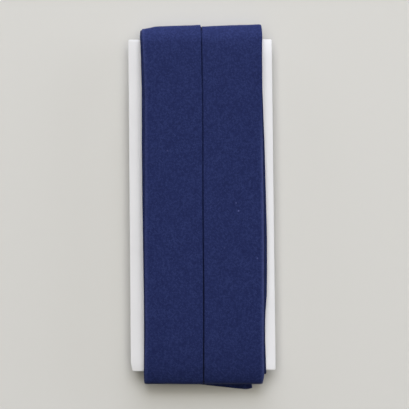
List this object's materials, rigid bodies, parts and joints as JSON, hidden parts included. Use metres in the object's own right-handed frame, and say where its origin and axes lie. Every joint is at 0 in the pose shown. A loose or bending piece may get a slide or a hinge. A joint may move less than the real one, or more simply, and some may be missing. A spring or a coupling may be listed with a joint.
{
  "type": "card of bias tape",
  "caption": "Folded cotton bias tape wound end over end round a flat white card, lying on its back with the centre seam up and one loose cut corner past the lower bend.",
  "frame": {"origin": "on the surface it rests on, under the middle of its box", "axes": "+Y up along the card, +X to the right as the seam faces the viewer, +Z out of the seamed face"},
  "size_m": [0.0488, 0.1236, 0.0111],
  "materials": {
    "board": "smooth white uncoated board",
    "cotton": "matt plain-weave cotton cut on the bias, pressed flat"
  },
  "bodies": {
    "root": {"card": "board", "tape": "cotton", "tape_end": "cotton"}
  },
  "joints": []
}
